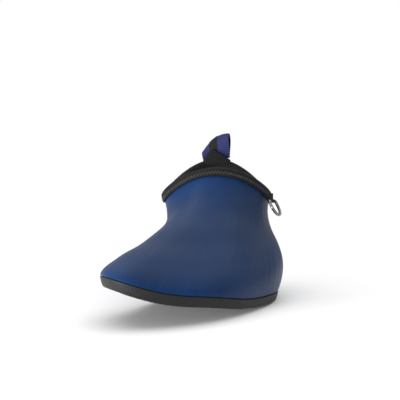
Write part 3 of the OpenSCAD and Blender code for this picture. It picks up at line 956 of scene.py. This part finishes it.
@dataclass
class Upper:
    """The neoprene panels, the tapes inside their seams and the thread that closes them."""

    seam_gap: float = 0.004
    seam_dip: float = 0.7
    seam_reach: float = 0.05
    foot_dip: float = 0.5
    mid_length: float = 430.0
    height: float = 115.0
    tape_half: float = 0.16
    tape_t: float = 0.6
    tape_low: float = 0.16
    tape_top: float = 0.88
    heel_top: float = 0.7

    def dent(self, u: float, v: float, seams: Sequence[float]) -> float:
        """How far the cloth dips under the plain surface.

        Args:
            u: The place round the boot, in stations.
            v: The place up the boot.
            seams: The seams at the panel's ends.

        Returns:
            The dip in millimetres: valleys at the seams and the sole, and soft folds over the instep.
        """
        dip = sum(self.seam_dip * hump(u, seam, self.seam_reach) for seam in seams)
        dip += self.foot_dip * hump(v, 0.0, 0.012)
        round_toe = (u + 6) % STATIONS - 6
        over_instep = hump(round_toe, 0.0, 2.4)
        folds = 0.5 * math.sin(17 * v + 0.9 * round_toe) + 0.35 * math.sin(29 * v - 1.4 * round_toe + 1.0)
        dip += 0.55 * over_instep * folds * smooth(0.15, 0.4, v) * (1 - smooth(0.75, 0.92, v))
        sides = 0.5 * math.sin(5.2 * u) * hump(v, 0.7, 0.16)
        return dip + sides * (1 - over_instep) * 0.8

    def panel(self, name: str, u0: float, u1: float, cols: int, rows: int, node: str) -> None:
        """One neoprene panel, knit outside, lining inside and foam at its cut edge.

        Args:
            name: The piece's name.
            u0: Where it starts round the boot.
            u1: Where it ends.
            cols: Faces round it.
            rows: Faces up it.
            node: The CAD node it stands for.
        """
        seams = (u0, u1)
        low, thread_gap_shade = u0 + self.seam_gap, u1 - self.seam_gap

        def place(a: float, b: float) -> Vector:
            u = low + (thread_gap_shade - low) * a
            return SHAPE.under(u, b, self.dent(u, b, seams))

        def uv(a: float, b: float) -> Vector:
            return Vector(((low + (thread_gap_shade - low) * a) / STATIONS * self.mid_length, b * self.height, 0))

        piece = grid_piece(name, cols, rows, place, uv)
        thicken(piece, SHAPE.wall - 0.2, Side.INWARD, 1, 2)
        settle(piece, Body.BOOT, [KNIT, LINING, FOAM_EDGE], [node])

    def tape(self, name: str, seam: float, node: str) -> None:
        """The tape glued over a seam inside the boot."""
        depth = SHAPE.wall + SHAPE.cloth_gap

        def place(a: float, b: float) -> Vector:
            v = self.tape_low + (self.tape_top - self.tape_low) * b
            return SHAPE.under(seam + self.tape_half * (2 * a - 1), v, depth)

        def uv(a: float, b: float) -> Vector:
            return Vector((12 * a, 83 * b, 0))

        piece = grid_piece(name, 8, 60, place, uv)
        thicken(piece, self.tape_t, Side.INWARD)
        settle(piece, Body.BOOT, [SEAM_TAPE], [node])

    def seam_run(self, seam: float, top: float, stitch: float = 2.2, half: float = 0.9) -> list[Vector]:
        """The zigzag of thread up one seam.

        Args:
            seam: The seam's place round the boot.
            top: How far up it goes.
            stitch: The length of a stitch in millimetres.
            half: How far a stitch reaches to each side in millimetres.

        Returns:
            The thread's points in millimetres.
        """
        count = int(self.height * (top - 0.03) / stitch)
        points = []
        for k in range(2 * count + 1):
            v = 0.03 + (top - 0.03) * k / (2 * count)
            across = {0: -1.0, 1: 0.0, 2: 1.0, 3: 0.0}[k % 4]
            speed = (SHAPE.skin(seam + 0.01, v) - SHAPE.skin(seam - 0.01, v)).length / 0.02
            lift = 0.0 if k % 2 == 0 else 0.12
            dip = self.dent(seam + across * half / speed, v, (seam,))
            points.append(SHAPE.under(seam + across * half / speed, v, dip - 0.12 - lift))
        return points

    def build(self) -> None:
        """Build the upper's pieces."""
        turn, outer, inner, heel = STATIONS, SHAPE.outer_seam, SHAPE.inner_seam, SHAPE.heel_seam
        self.panel("front_panel_neoprene", inner - turn, outer, 220, 110, "front_panel")
        self.panel("outer_back_neoprene", outer, heel, 84, 90, "outer_back_panel")
        self.panel("inner_back_neoprene", heel, inner, 84, 90, "inner_back_panel")
        self.tape("outer_seam_strip", outer, "outer_seam_tape")
        self.tape("inner_seam_strip", inner, "inner_seam_tape")
        self.tape("heel_seam_strip", heel, "heel_seam_tape")
        tops = {outer: self.tape_top, inner: self.tape_top, heel: self.heel_top}
        runs = [self.seam_run(seam, top) for seam, top in tops.items()]
        stitches = thread("panel_seam_thread", runs, 0.45)
        settle(stitches, Body.BOOT, [NAVY_THREAD], ["seam_threads"])


# ---------------------------------------------------------------------------------------------
# The collar
# ---------------------------------------------------------------------------------------------


@dataclass
class Collar:
    """The binding folded over the rim, its zigzag thread, the heel tab and the label."""

    band: float = 5.5
    thick: float = 1.4
    around: int = 420
    turns: int = 124
    length: float = 305.0
    tab_left: float = -13.0
    tab_right: float = 14.0
    tab_peak: float = -4.8
    tab_height: float = 14.0
    tab_thick: float = 1.6
    tab_round: float = 2.5
    tab_lean: float = 9.0
    tab_bend: float = 37.0
    tab_drop: float = 4.6
    tab_clear: float = 4.55
    zig_low: float = 4.2
    zig_high: float = 1.3

    def pucker(self, u: float, distance: float) -> float:
        """How far the binding is pulled in by its stitches at a distance below the rim."""
        phase = math.cos(math.tau * self.turns * u / STATIONS)
        at_stitch = hump(distance, (self.zig_low + self.zig_high) / 2, 1.8)
        edge_wave = 0.10 * phase * hump(distance, self.band, 1.5)
        return 0.12 * at_stitch * (1 + 0.5 * phase) + edge_wave

    def binding(self) -> None:
        """The tape, from its outer edge over the rim to its inner edge."""
        leg_rows, top_rows = 12, 10
        rows = 2 * leg_rows + top_rows
        inner_face = SHAPE.cloth_gap
        radius = SHAPE.wall / 2 + inner_face

        def place(a: float, b: float) -> Vector:
            u = a * STATIONS
            k = b * rows
            if k < leg_rows:
                distance = self.band * (1 - k / leg_rows)
                lift = inner_face - self.pucker(u, distance) * 0.6
                return SHAPE.under(u, SHAPE.below_rim(u, distance), -lift)
            if k <= leg_rows + top_rows:
                return SHAPE.arch(u, math.pi * (k - leg_rows) / top_rows, radius)
            distance = self.band * (k - leg_rows - top_rows) / leg_rows
            return SHAPE.under(u, SHAPE.below_rim(u, distance), SHAPE.wall + inner_face)

        def uv(a: float, b: float) -> Vector:
            return Vector((a * self.length, b * (2 * self.band + 7), 0))

        piece = grid_piece("collar_binding_tape", self.around, rows, place, uv, ring=True)
        thicken(piece, self.thick, Side.OUTWARD)
        round_edges(piece, 0.45, 3)
        settle(piece, Body.BOOT, [BINDING], ["collar_binding"])

    def zigzag(self) -> None:
        """The zigzag thread along the binding's outer leg."""
        points = []
        for k in range(4 * self.turns):
            u = STATIONS * k / (4 * self.turns)
            across = {0: 0.0, 1: 0.5, 2: 1.0, 3: 0.5}[k % 4]
            distance = self.zig_low + (self.zig_high - self.zig_low) * across
            lift = 0.05 if k % 2 == 0 else 0.2
            depth = 0.6 * self.pucker(u, distance) - SHAPE.cloth_gap - self.thick - lift
            points.append(SHAPE.under(u, SHAPE.below_rim(u, distance), depth))
        piece = thread("binding_zigzag_thread", [points], 0.5, closed=True)
        settle(piece, Body.BOOT, [BLACK_THREAD], ["binding_stitches"])

    def tab(self) -> None:
        """The stiff three-cornered tab inside the heel, with a stitched border."""
        corners = [
            Vector((self.tab_left + self.tab_round, self.tab_round, 0)),
            Vector((self.tab_right - self.tab_round, self.tab_round, 0)),
            Vector((self.tab_peak, self.tab_height - self.tab_round, 0)),
        ]
        matrix = self.tab_matrix()
        bm = bmesh.new()
        bmesh.ops.create_circle(bm, cap_ends=True, segments=96, radius=1.0)
        for v in bm.verts:
            way = v.co.normalized()
            far = max(corners, key=lambda c: c.dot(way))
            v.co = far + way * self.tab_round
        for inset, rise in ((0.5, 0.0), (1.6, 0.25), (0.8, -0.22), (2.0, 0.2)):
            bmesh.ops.inset_region(bm, faces=[self.middle_face(bm)], thickness=inset, depth=rise)
        for face in bm.faces:
            face.smooth = True
        layer = bm.loops.layers.uv.new("cloth")
        for face in bm.faces:
            for loop in face.loops:
                loop[layer].uv = (loop.vert.co * MM).xy
        for v in bm.verts:
            angle, radius = v.co.x / self.tab_bend, self.tab_bend - self.tab_thick - v.co.z
            across = Vector((radius * math.sin(angle), radius * math.cos(angle) - self.tab_bend))
            v.co = Vector((across.x, across.y, v.co.y)) * MM
        piece = finish_mesh("heel_tab_cloth", bm)
        piece.data.transform(matrix)
        thicken(piece, self.tab_thick - 0.3, Side.INWARD)
        round_edges(piece, 0.35, 2, 60)
        settle(piece, Body.BOOT, [TAB], ["heel_tab"])

    def middle_face(self, bm: bmesh.types.BMesh) -> bmesh.types.BMFace:
        """The face with the most corners, which is the tab's middle."""
        return max(bm.faces, key=lambda f: len(f.verts))

    def tab_matrix(self) -> Matrix:
        """The tab's place: in front of the loop's inner strand, leaning a little into the boot."""
        place = Matrix.Translation(Vector((0, -self.tab_clear, -self.tab_drop)) * MM)
        return heel_matrix() @ place @ Matrix.Rotation(math.radians(self.tab_lean), 4, "X")

    def label(self) -> None:
        """The blank size label inside the heel."""
        depth, half = SHAPE.wall + 1.1, 0.35

        def place(a: float, b: float) -> Vector:
            return SHAPE.under(SHAPE.heel_seam + half * (2 * a - 1), 0.66 + 0.12 * b, depth)

        def uv(a: float, b: float) -> Vector:
            return Vector((17 * a, 15 * b, 0))

        piece = grid_piece("blank_size_label", 24, 20, place, uv)
        thicken(piece, 0.3, Side.INWARD)
        settle(piece, Body.BOOT, [LABEL], ["size_label"])

    def build(self) -> None:
        """Build the collar's pieces."""
        self.binding()
        self.zigzag()
        self.tab()
        self.label()


def heel_matrix() -> Matrix:
    """The frame of the pull loop: its foot over the heel seam, with X along the rim, in metres."""
    seam = SHAPE.heel_seam
    foot = SHAPE.rim(seam) - SHAPE.out(seam, 1.0) * SHAPE.wall / 2 + Vector((0, 0, SHAPE.wall / 2 + 1.6))
    turn = Matrix.Rotation(math.radians(30 * seam - 180), 4, "Z")
    return Matrix.Translation(foot * MM) @ turn


# ---------------------------------------------------------------------------------------------
# The pull loop
# ---------------------------------------------------------------------------------------------


@dataclass
class PullLoop:
    """The webbing loop over the heel, the black stripe along it, its sewn end and its bar tacks."""

    width: float = 25.0
    thick: float = 1.4
    thread_gap_shade: float = 23.0
    low: float = 6.5
    open_by: float = 11.0
    twist: float = 22.0
    rib: float = 1.55
    rib_depth: float = 0.22
    run: float = 52.0
    stripe_width: float = 7.0
    stripe_at: float = -2.0
    arch: float = 62.0
    back_end: float = 32.0
    off_band: tuple[float, float] = (5.8, 13.0)
    zigzag: float = 0.5
    tack_lows: tuple[float, float] = (30.5, 18.0)

    def depth(self, t: float) -> float:
        """Half the gap between the strands, from the foot (0) over the top to the foot again (1)."""
        return -self.open_by / 2 * math.cos(math.pi * t) * math.sin(math.pi * t) ** 0.6 * 1.35

    def point(self, w: float, t: float, side: float) -> Vector:
        """A point of the webbing's middle layer.

        Args:
            w: The place across the webbing, in millimetres from its middle.
            t: The place along the loop.
            side: How far the two strands are held apart at the foot.

        Returns:
            The point in the loop's own frame, in millimetres.
        """
        rise = math.sin(math.pi * t)
        turn = -math.radians(self.twist) * rise
        d = self.depth(t) + side
        across, along = math.cos(turn), math.sin(turn)
        edge = max(min(w, self.width / 2), -self.width / 2)
        height = self.thread_gap_shade - (self.thread_gap_shade - self.low) * (0.5 - edge / self.width) ** 2.4
        return Vector((w * across - d * along, w * along + d * across, height * rise))

    def face(self, w: float, t: float, offset: float) -> Vector:
        """A point at an offset from the webbing's middle layer."""
        across = self.point(w + 0.1, t, 0) - self.point(w - 0.1, t, 0)
        along = self.point(w, min(t + 0.01, 1), 0) - self.point(w, max(t - 0.01, 0), 0)
        foot = (-1 if t < 0.5 else 1) * self.thick * 0.55 * abs(math.cos(math.pi * t)) ** 4
        return self.point(w, t, foot) + across.cross(along).normalized() * offset

    def ribs(self, along: float) -> float:
        """The height of the webbing's ribs at a distance along it."""
        return self.rib_depth * (abs(math.sin(math.pi * along / self.rib)) ** 0.7 - 0.5)

    def strap(
        self, name: str, middle: float, half: float, cols: int, t0: float, t1: float, lift: float
    ) -> bpy.types.Object:
        """Webbing bent into the loop.

        Args:
            name: The piece's name.
            middle: Its middle, across the loop's webbing.
            half: Half its width.
            cols: Faces across it.
            t0: Where it starts along the loop.
            t1: Where it ends.
            lift: How far its outer face lies from the middle layer.

        Returns:
            The sheet, before it has its thickness.
        """

        def place(a: float, b: float) -> Vector:
            t = t0 + (t1 - t0) * b
            selvedge = 0.18 * math.cos(math.tau * t * self.run / self.rib) * (2 * a - 1) ** 9
            return self.face(middle + half * (2 * a - 1) + selvedge, t, lift + self.ribs(t * self.run))

        def uv(a: float, b: float) -> Vector:
            return Vector((half * 2 * a, (t0 + (t1 - t0) * b) * self.run, 0))

        piece = grid_piece(name, cols, 260, place, uv)
        piece.data.transform(heel_matrix())
        return piece

    def sewn_end(self) -> None:
        """The webbing's end, from the top of the rim down over the binding at the back."""
        half, seam = self.width / 2 / 26, SHAPE.heel_seam
        over = SHAPE.band_t + self.zigzag + 3 * SHAPE.cloth_gap
        radius = SHAPE.wall / 2 + over
        curved = radius * math.radians(self.arch)
        total = self.back_end + curved

        def place(a: float, b: float) -> Vector:
            u, along = seam + half * (2 * a - 1), total * b
            rib = self.ribs(along)
            if along > self.back_end:
                return SHAPE.arch(u, (along - self.back_end) / radius, radius + rib)
            below = self.back_end - along
            lift = over - (over - SHAPE.cloth_gap) * smooth(*self.off_band, below)
            return SHAPE.under(u, SHAPE.below_rim(u, below), -lift - rib)

        def uv(a: float, b: float) -> Vector:
            return Vector((self.width * a, total * b, 0))

        piece = grid_piece("loop_end_webbing", 28, int(total / self.rib * 6), place, uv)
        thicken(piece, self.thick, Side.OUTWARD)
        round_edges(piece, 0.3, 2, 60)
        settle(piece, Body.BOOT, [WEBBING], ["loop_tail"])

    def tacks(self) -> None:
        """Two dense zigzags of thread across the sewn end."""
        seam, half = SHAPE.heel_seam, 0.8 * self.width / 2 / 26
        over = SHAPE.cloth_gap + self.thick + 0.3
        runs = []
        for low in self.tack_lows:
            count = 60
            run = []
            for k in range(count + 1):
                u = seam + half * (2 * k / count - 1)
                run.append(SHAPE.under(u, SHAPE.below_rim(u, low - (1.9 if k % 2 else 0.0)), -over))
            runs.append(run)
        piece = thread("loop_bar_tack_thread", runs, 0.45)
        settle(piece, Body.BOOT, [BLACK_THREAD], ["loop_bar_tacks"])

    def build(self) -> None:
        """Build the loop's pieces."""
        webbing = self.strap("pull_loop_webbing", 0.0, self.width / 2, 44, 0.02, 0.98, self.thick / 2)
        thicken(webbing, self.thick, Side.INWARD, even=False)
        round_edges(webbing, 0.3, 2, 60)
        settle(webbing, Body.LOOP, [WEBBING], ["pull_loop"])
        lift = self.thick / 2 + 0.35
        stripe = self.strap("loop_stripe_tape", self.stripe_at, self.stripe_width / 2, 14, 0.05, 0.95, lift)
        thicken(stripe, 0.35, Side.INWARD, even=False)
        settle(stripe, Body.LOOP, [STRIPE], ["loop_stripe"])
        self.sewn_end()
        self.tacks()


# ---------------------------------------------------------------------------------------------
# The D-ring
# ---------------------------------------------------------------------------------------------


@dataclass
class RingKeeper:
    """The D-ring and the folded webbing that holds it on the outer side of the collar."""

    ring_place: float = 76.0
    wire: float = 2.4
    clear: float = 0.3
    thick: float = 1.2
    width: float = 8.0
    rise: float = 6.5
    stand: float = 5.2
    drop: float = 8.5
    ring_width: float = 15.0
    arm: float = 5.5
    tilt: float = 28.0

    def ring(self) -> None:
        """The ring: a bar, two arms with softly bent corners and a half round, of one round wire."""
        half, corner = self.ring_width / 2, 1.2
        bends = []
        for k in range(13):
            turn = math.pi / 2 * k / 12
            side, up = half - corner + corner * math.sin(turn), corner * math.cos(turn) - corner
            bends.append(Vector((0, side, up)))
        bow = []
        for k in range(97):
            turn = math.pi * k / 96
            bow.append(Vector((0, half * math.cos(turn), -self.arm - half * math.sin(turn))))
        path = bends + bow + [Vector((0, -p.y, p.z)) for p in reversed(bends)]
        piece = thread("d_ring_wire", [path], self.wire, closed=True, sides=7)
        piece.data.transform(self.matrix() @ Matrix.Rotation(-math.radians(self.tilt), 4, "Y"))
        settle(piece, Body.RING, [STEEL], ["d_ring"])

    def matrix(self) -> Matrix:
        """The ring's frame: the middle of its bar, with Y along the bar, in metres."""
        u = self.ring_place / 30
        angle = math.radians(self.ring_place)
        stand = Vector((math.sin(angle), -math.cos(angle), 0)) * self.stand
        middle = SHAPE.rim(u) + stand - Vector((0, 0, self.drop))
        return Matrix.Translation(middle * MM) @ Matrix.Rotation(angle - math.pi / 2, 4, "Z")

    def path(self, b: float) -> tuple[float, float]:
        """The folded strip's inner line: down, round the bar and up again.

        Args:
            b: The place along the strip, from 0 to 1.

        Returns:
            Its place out from the bar's middle and its height over it, in millimetres.
        """
        inner = self.wire / 2 + self.clear
        arc = math.tau * 0.86 * inner
        straight = self.rise
        at = b * (arc + straight)
        if at < straight:
            return -inner, straight - at
        turn = math.pi + (at - straight) / inner
        return inner * math.cos(turn), inner * math.sin(turn)

    def build(self) -> None:
        """Build the ring, the keeper and its bar tack."""
        self.ring()
        matrix = self.matrix()

        def place(a: float, b: float) -> Vector:
            out, up = self.path(b)
            return Vector((out, self.width * (a - 0.5), up))

        def uv(a: float, b: float) -> Vector:
            return Vector((self.width * a, 17 * b, 0))

        strip = grid_piece("ring_keeper_webbing", 16, 70, place, uv)
        strip.data.transform(matrix)
        thicken(strip, self.thick - 0.15, Side.INWARD)
        round_edges(strip, 0.25, 2, 60)
        settle(strip, Body.BOOT, [BINDING], ["ring_keeper"])
        out = -self.wire / 2 - self.clear + 0.25
        count = 24
        run = []
        for k in range(count + 1):
            up = self.rise - 2.0 + (1.2 if k % 2 else 0.0)
            run.append(Vector((out, 6.0 * (k / count - 0.5), up)))
        tack = thread("keeper_bar_tack_thread", [run], 0.4)
        tack.data.transform(matrix)
        settle(tack, Body.BOOT, [BLACK_THREAD], ["keeper_bar_tack"])


def dress_node(nodes: dict[str, bpy.types.Object], name: str, finish: Finish) -> None:
    """Give a CAD node that stays in sight, or inside, its finish.

    Args:
        nodes: The CAD nodes by name.
        name: The node.
        finish: Its finish.
    """
    node = nodes[name]
    node.data.materials.clear()
    node.data.materials.append(finish.material())
    LOG.info("%s: CAD node dressed in %s", name, finish.name)


# ---------------------------------------------------------------------------------------------
# The studio
# ---------------------------------------------------------------------------------------------


@dataclass
class Studio:
    """A white floor, soft white light from all round and above, a strip in front, and the camera."""

    eye: tuple[float, float, float] = (0.1147, -0.6094, 0.080)
    turn: float = 12.0
    lens: float = 64.17
    floor_size: float = 6.0
    sky_light: float = 0.56
    overhead_power: float = 1.7

    def floor(self) -> None:
        """The plain white floor."""
        bm = bmesh.new()
        bmesh.ops.create_grid(bm, x_segments=2, y_segments=2, size=self.floor_size)
        plane = finish_mesh("studio_floor", bm)
        tree = Tree("studio_floor_paint")
        place = tree.add("TexCoord", out="Object")
        slow = tree.add("Mapping", {"Vector": place, "Scale": (3.0, 3.0, 3.0)})
        grain = tree.add("TexNoise", {"Vector": slow, "Scale": 1.0, "Detail": 2.0})
        colours = {FACTOR: grain, FIRST: linear("#f4f4f4"), SECOND: linear("#f8f8f8")}
        tree.shade(Base_Color=tree.add("Mix", colours, COLOURS, MIXED), Roughness=0.9)
        tree.shade(Specular_IOR_Level=0.1)
        plane.data.materials.append(tree.material)

    def light(
        self, name: str, place: Sequence[float], aim: Sequence[float], size: tuple[float, float], power: float
    ) -> None:
        """A softbox.

        Args:
            name: The light's name.
            place: Where it stands, in metres.
            aim: The point it faces.
            size: Its width and height, in metres.
            power: Its power in watts.
        """
        lamp = bpy.data.lights.new(name, "AREA")
        lamp.shape = "RECTANGLE"
        lamp.size, lamp.size_y = size
        lamp.energy = power
        holder = bpy.data.objects.new(name, lamp)
        holder.location = place
        holder.rotation_euler = (Vector(aim) - Vector(place)).to_track_quat("-Z", "Y").to_euler()
        bpy.context.collection.objects.link(holder)

    def overhead(self) -> None:
        """Broad, soft light from straight above, the same over the whole floor."""
        lamp = bpy.data.lights.new("overhead", "SUN")
        lamp.energy = self.overhead_power
        lamp.angle = math.radians(100)
        holder = bpy.data.objects.new("overhead", lamp)
        holder.rotation_euler = (math.radians(-6), math.radians(4), 0)
        bpy.context.collection.objects.link(holder)

    def sky(self) -> None:
        """Even white light from all round, dimmer on the boot than on the backdrop that is seen."""
        world = bpy.data.worlds.new("studio_white")
        world.use_nodes = True
        nodes, links = world.node_tree.nodes, world.node_tree.links
        background = nodes["Background"]
        background.inputs["Color"].default_value = (1.0, 1.0, 1.0, 1.0)
        seen = nodes.new("ShaderNodeLightPath")
        strength = nodes.new("ShaderNodeMath")
        strength.operation = "MULTIPLY_ADD"
        strength.inputs[1].default_value = 1.0 - self.sky_light
        strength.inputs[2].default_value = self.sky_light
        links.new(seen.outputs["Is Camera Ray"], strength.inputs[0])
        links.new(strength.outputs[0], background.inputs["Strength"])
        bpy.context.scene.world = world

    def camera(self) -> None:
        """The camera in front of the toe, at ankle height."""
        data = bpy.data.cameras.new("studio_camera")
        data.lens = self.lens
        data.sensor_width = 36.0
        data.clip_start = 0.01
        holder = bpy.data.objects.new("studio_camera", data)
        holder.location = self.eye
        holder.rotation_euler = (math.pi / 2, 0, math.radians(self.turn))
        bpy.context.collection.objects.link(holder)
        bpy.context.scene.camera = holder

    def build(self) -> None:
        """Set the floor, the lights and the camera."""
        self.floor()
        self.sky()
        self.light("front_strip", (-0.35, -0.75, 0.05), (-0.03, -0.19, 0.02), (0.8, 0.08), 13.0)
        self.overhead()
        self.camera()
        bpy.context.scene.view_settings.view_transform = "Standard"


def main() -> None:
    """Build the boot's looks round its CAD frame."""
    logging.basicConfig(level=logging.INFO, format="%(message)s", stream=sys.stdout)
    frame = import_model()
    Sole().build()
    Upper().build()
    Collar().build()
    PullLoop().build()
    RingKeeper().build()
    dress_node(frame["nodes"], "midsole", SOLE_FOAM)
    Studio().build()


if __name__ == "__main__":
    main()
